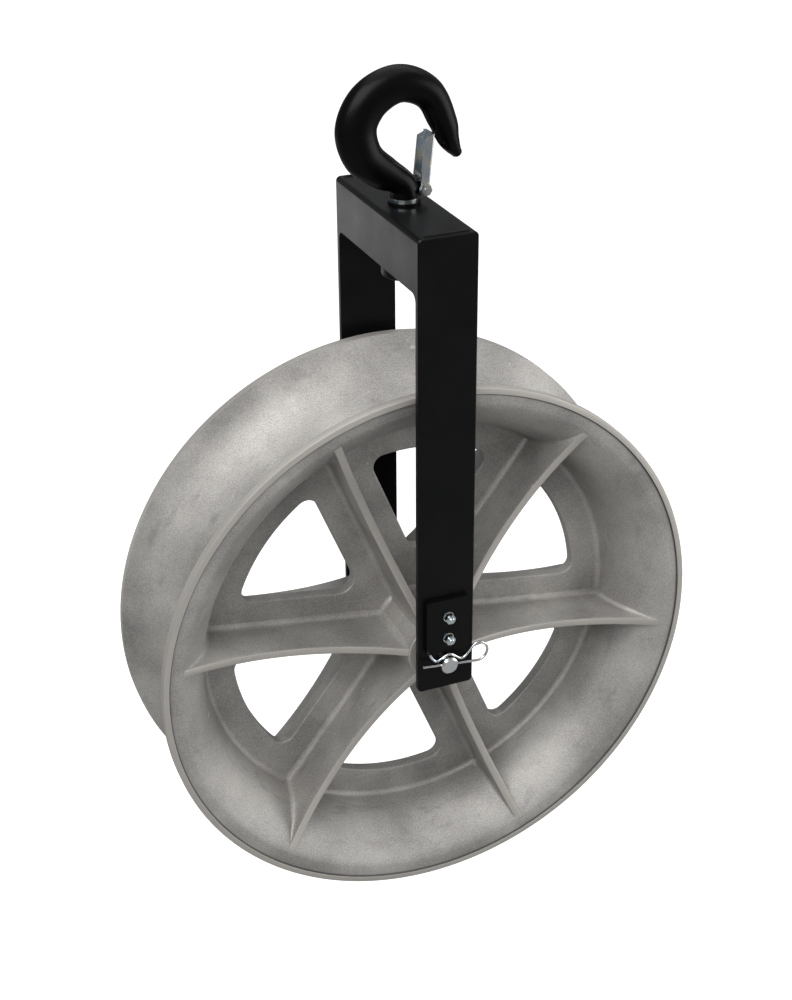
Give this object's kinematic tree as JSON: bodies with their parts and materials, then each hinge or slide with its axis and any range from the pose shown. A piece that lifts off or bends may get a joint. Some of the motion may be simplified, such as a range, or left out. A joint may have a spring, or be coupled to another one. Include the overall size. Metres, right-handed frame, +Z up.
{
  "type": "stringing block",
  "caption": "Large aluminium conductor stringing sheave in a black steel frame, hung from a swivel hook with a safety latch.",
  "frame": {"origin": "centre of the sheave on the axle line", "axes": "+Z up through the swivel hook, +Y along the axle toward the pin's head, +X the way the line runs and the hook opens"},
  "size_m": [0.6099, 0.2383, 0.9184],
  "materials": {
    "cast_aluminium": "bead-blasted casting, fine grain",
    "black_coat": "semi-gloss black coating",
    "hook_paint": "satin black paint on a forging",
    "zinc_plate": "bright zinc plating",
    "bearing_steel": "ground bearing steel",
    "plain_steel": "plain steel, lightly oiled"
  },
  "bodies": {
    "hook": {"hook": "hook_paint", "shank_nut": "black_coat", "shank_lock_pin": "plain_steel", "thrust_race_lower": "bearing_steel", "swivel_collar": "zinc_plate", "swivel_washer": "black_coat", "latch_pin": "zinc_plate", "latch_nut": "zinc_plate", "latch_washers": "zinc_plate", "latch_spring": "plain_steel"},
    "latch": {"latch": "zinc_plate"},
    "frame": {"frame_top": "black_coat", "side_plate_near": "black_coat", "side_plate_far": "black_coat", "weld_beads": "black_coat", "keeper_plate": "black_coat", "keeper_bolts": "zinc_plate", "keeper_nuts": "zinc_plate", "keeper_washers": "zinc_plate", "swivel_block": "black_coat", "thrust_race_upper": "bearing_steel", "axle_pin": "zinc_plate", "bearing_inner_ring_near": "bearing_steel", "bearing_inner_ring_far": "bearing_steel", "bearing_spacer_tube": "plain_steel", "side_spacer_near": "zinc_plate", "side_spacer_far": "zinc_plate"},
    "thrust_ball_set": {"thrust_balls": "bearing_steel", "thrust_cage": "bearing_steel"},
    "sheave": {"sheave": "cast_aluminium", "bearing_outer_ring_near": "bearing_steel", "bearing_outer_ring_far": "bearing_steel", "bearing_shields": "bearing_steel", "hub_snap_rings": "bearing_steel"},
    "bearing_ball_sets": {"bearing_balls_near": "bearing_steel", "bearing_balls_far": "bearing_steel", "bearing_cage_near": "bearing_steel", "bearing_cage_far": "bearing_steel"},
    "clip": {"r_clip": "zinc_plate"}
  },
  "joints": [
    {"name": "hook_swivel", "type": "hinge", "parent": "hook", "child": "frame", "pos_m": [0, 0, 0.4], "axis": [0, 0, 1], "continuous": true},
    {"name": "thrust_ball_roll", "type": "hinge", "parent": "hook", "child": "thrust_ball_set", "pos_m": [0, 0, 0.4], "axis": [0, 0, 1], "continuous": true},
    {"name": "sheave_spin", "type": "hinge", "parent": "frame", "child": "sheave", "pos_m": [0, 0, 0], "axis": [0, 1, 0], "continuous": true},
    {"name": "bearing_ball_roll", "type": "hinge", "parent": "frame", "child": "bearing_ball_sets", "pos_m": [0, 0, 0], "axis": [0, 1, 0], "continuous": true},
    {"name": "latch_swing", "type": "hinge", "parent": "hook", "child": "latch", "pos_m": [0.018, 0, 0.49], "axis": [0, 1, 0], "range_deg": [-26, 0], "stiffness_Nm_per_rad": 0.25, "springref_deg": 20.05},
    {"name": "clip_pull", "type": "slide", "parent": "frame", "child": "clip", "axis": [0.9942, 0, -0.108], "range_m": [0, 0.042], "deforming": ["r_clip"]}
  ],
  "couplings": [
    {"joint": "thrust_ball_roll", "follows": "hook_swivel", "ratio": 0.5},
    {"joint": "bearing_ball_roll", "follows": "sheave_spin", "ratio": 0.59}
  ]
}
